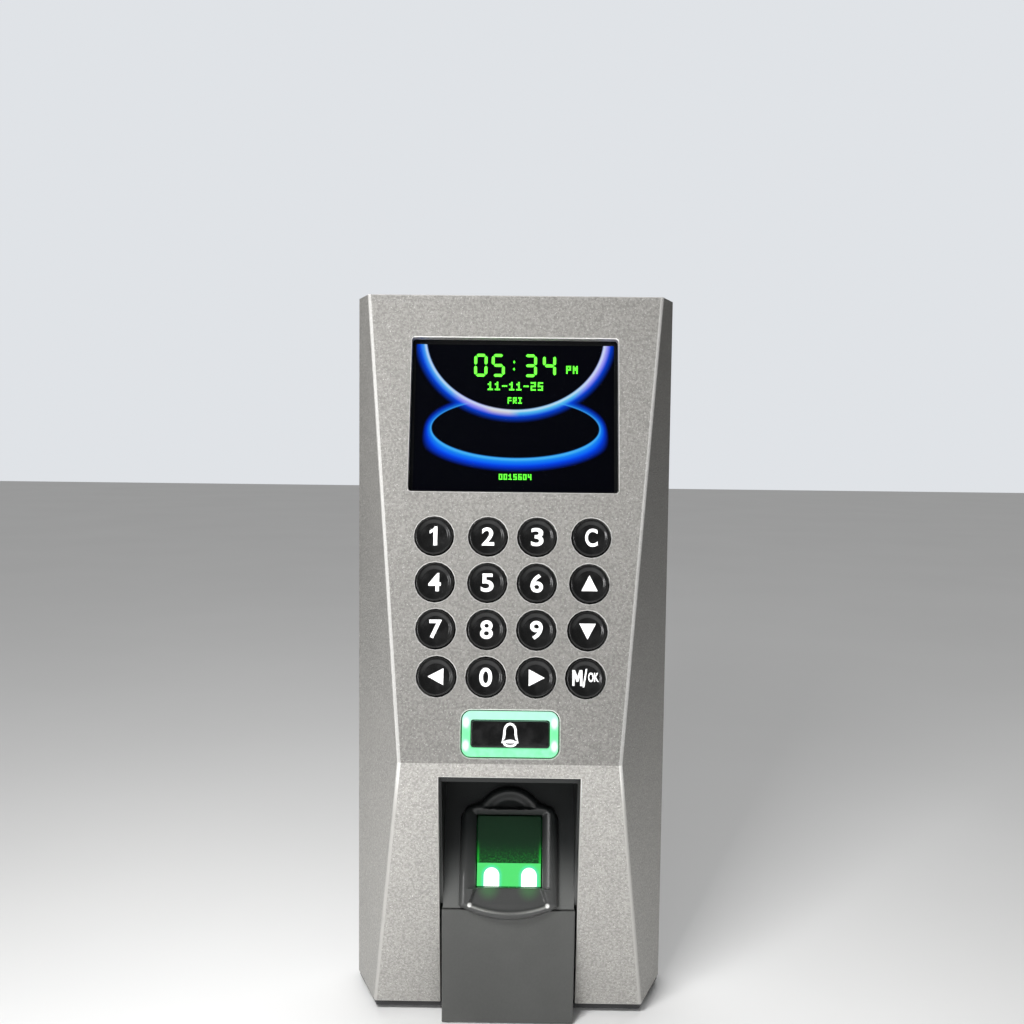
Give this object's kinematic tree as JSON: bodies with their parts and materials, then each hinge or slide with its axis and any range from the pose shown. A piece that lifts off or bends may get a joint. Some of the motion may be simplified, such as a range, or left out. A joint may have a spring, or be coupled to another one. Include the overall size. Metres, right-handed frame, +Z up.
{
  "type": "fingerprint scanner terminal",
  "caption": "Wall-mounted access terminal with a raked silver case, display, round keypad, lit bell key and a fingerprint reader in a finger recess.",
  "frame": {"origin": "middle of the wall plate's rear face, on the wall", "axes": "+Z up, +Y into the wall, front faces -Y, +X to the right of somebody facing the terminal"},
  "size_m": [0.082, 0.042, 0.1834],
  "materials": {
    "silver_paint": "fine textured silver paint, satin",
    "black_plastic": "moulded black, satin",
    "chin_plastic": "dark grey satin",
    "recess_plastic": "fine-textured black, satin",
    "key_plastic": "polished black",
    "ring_diffuser": "milky light guide, lit mint green",
    "display_glass": "clear hard-coated window",
    "platen_glass": "polished optical glass",
    "lamp": "clear lamp, lit",
    "rubber": "moulded silicone",
    "board": "green solder mask",
    "steel": "plated",
    "plate_zinc": "zinc-plated sheet",
    "socket_plastic": "moulded ivory nylon"
  },
  "bodies": {
    "wall_bracket": {"wall_plate": "plate_zinc"},
    "terminal": {"front_case": "silver_paint", "rear_tub": "black_plastic", "display_lens": "display_glass", "display_gasket": "rubber", "display_module": "steel", "light_ring": "ring_diffuser", "keypad_mat": "rubber", "keypad_board": "board", "sensor_shroud": "recess_plastic", "chin_cover": "chin_plastic", "finger_guide": "recess_plastic", "platen_prism": "platen_glass", "light_board": "board", "led_left": "lamp", "led_right": "lamp", "lens_barrel": "black_plastic", "sensor_board": "board", "sensor_screw_1": "steel", "sensor_screw_2": "steel", "main_board": "board", "board_screw_1": "steel", "board_screw_2": "steel", "board_screw_3": "steel", "board_screw_4": "steel", "case_screw_1": "steel", "case_screw_2": "steel", "case_screw_3": "steel", "case_screw_4": "steel", "network_socket": "socket_plastic", "power_socket": "socket_plastic", "lock_socket": "socket_plastic", "door_relay": "black_plastic", "clock_battery": "steel", "beeper": "black_plastic", "speaker": "black_plastic", "tamper_switch": "black_plastic", "lock_screw": "steel"},
    "key_1_body": {"key_1": "key_plastic"},
    "key_2_body": {"key_2": "key_plastic"},
    "key_3_body": {"key_3": "key_plastic"},
    "key_clear_body": {"key_clear": "key_plastic"},
    "key_4_body": {"key_4": "key_plastic"},
    "key_5_body": {"key_5": "key_plastic"},
    "key_6_body": {"key_6": "key_plastic"},
    "key_up_body": {"key_up": "key_plastic"},
    "key_7_body": {"key_7": "key_plastic"},
    "key_8_body": {"key_8": "key_plastic"},
    "key_9_body": {"key_9": "key_plastic"},
    "key_down_body": {"key_down": "key_plastic"},
    "key_left_body": {"key_left": "key_plastic"},
    "key_0_body": {"key_0": "key_plastic"},
    "key_right_body": {"key_right": "key_plastic"},
    "key_ok_body": {"key_ok": "key_plastic"},
    "bell_key_body": {"bell_key": "key_plastic"},
    "tamper_plunger_body": {"tamper_plunger": "key_plastic"}
  },
  "joints": [
    {"name": "terminal_swing", "type": "hinge", "parent": "wall_bracket", "child": "terminal", "pos_m": [0, -0.0031, 0.0838], "axis": [-1, 0, 0], "range_deg": [0, 15]},
    {"name": "key_1_press", "type": "slide", "parent": "terminal", "child": "key_1_body", "axis": [0, 0.9751, -0.2219], "range_m": [0, 0.001], "stiffness_N_per_m": 150, "springref_m": -0.001},
    {"name": "key_2_press", "type": "slide", "parent": "terminal", "child": "key_2_body", "axis": [0, 0.9751, -0.2219], "range_m": [0, 0.001], "stiffness_N_per_m": 150, "springref_m": -0.001},
    {"name": "key_3_press", "type": "slide", "parent": "terminal", "child": "key_3_body", "axis": [0, 0.9751, -0.2219], "range_m": [0, 0.001], "stiffness_N_per_m": 150, "springref_m": -0.001},
    {"name": "key_clear_press", "type": "slide", "parent": "terminal", "child": "key_clear_body", "axis": [0, 0.9751, -0.2219], "range_m": [0, 0.001], "stiffness_N_per_m": 150, "springref_m": -0.001},
    {"name": "key_4_press", "type": "slide", "parent": "terminal", "child": "key_4_body", "axis": [0, 0.9751, -0.2219], "range_m": [0, 0.001], "stiffness_N_per_m": 150, "springref_m": -0.001},
    {"name": "key_5_press", "type": "slide", "parent": "terminal", "child": "key_5_body", "axis": [0, 0.9751, -0.2219], "range_m": [0, 0.001], "stiffness_N_per_m": 150, "springref_m": -0.001},
    {"name": "key_6_press", "type": "slide", "parent": "terminal", "child": "key_6_body", "axis": [0, 0.9751, -0.2219], "range_m": [0, 0.001], "stiffness_N_per_m": 150, "springref_m": -0.001},
    {"name": "key_up_press", "type": "slide", "parent": "terminal", "child": "key_up_body", "axis": [0, 0.9751, -0.2219], "range_m": [0, 0.001], "stiffness_N_per_m": 150, "springref_m": -0.001},
    {"name": "key_7_press", "type": "slide", "parent": "terminal", "child": "key_7_body", "axis": [0, 0.9751, -0.2219], "range_m": [0, 0.001], "stiffness_N_per_m": 150, "springref_m": -0.001},
    {"name": "key_8_press", "type": "slide", "parent": "terminal", "child": "key_8_body", "axis": [0, 0.9751, -0.2219], "range_m": [0, 0.001], "stiffness_N_per_m": 150, "springref_m": -0.001},
    {"name": "key_9_press", "type": "slide", "parent": "terminal", "child": "key_9_body", "axis": [0, 0.9751, -0.2219], "range_m": [0, 0.001], "stiffness_N_per_m": 150, "springref_m": -0.001},
    {"name": "key_down_press", "type": "slide", "parent": "terminal", "child": "key_down_body", "axis": [0, 0.9751, -0.2219], "range_m": [0, 0.001], "stiffness_N_per_m": 150, "springref_m": -0.001},
    {"name": "key_left_press", "type": "slide", "parent": "terminal", "child": "key_left_body", "axis": [0, 0.9751, -0.2219], "range_m": [0, 0.001], "stiffness_N_per_m": 150, "springref_m": -0.001},
    {"name": "key_0_press", "type": "slide", "parent": "terminal", "child": "key_0_body", "axis": [0, 0.9751, -0.2219], "range_m": [0, 0.001], "stiffness_N_per_m": 150, "springref_m": -0.001},
    {"name": "key_right_press", "type": "slide", "parent": "terminal", "child": "key_right_body", "axis": [0, 0.9751, -0.2219], "range_m": [0, 0.001], "stiffness_N_per_m": 150, "springref_m": -0.001},
    {"name": "key_ok_press", "type": "slide", "parent": "terminal", "child": "key_ok_body", "axis": [0, 0.9751, -0.2219], "range_m": [0, 0.001], "stiffness_N_per_m": 150, "springref_m": -0.001},
    {"name": "bell_key_press", "type": "slide", "parent": "terminal", "child": "bell_key_body", "axis": [0, 0.9751, -0.2219], "range_m": [0, 0.001], "stiffness_N_per_m": 150, "springref_m": -0.001},
    {"name": "tamper_press", "type": "slide", "parent": "terminal", "child": "tamper_plunger_body", "axis": [0, -1, 0], "range_m": [0, 0.0015], "stiffness_N_per_m": 200, "springref_m": -0.001}
  ]
}
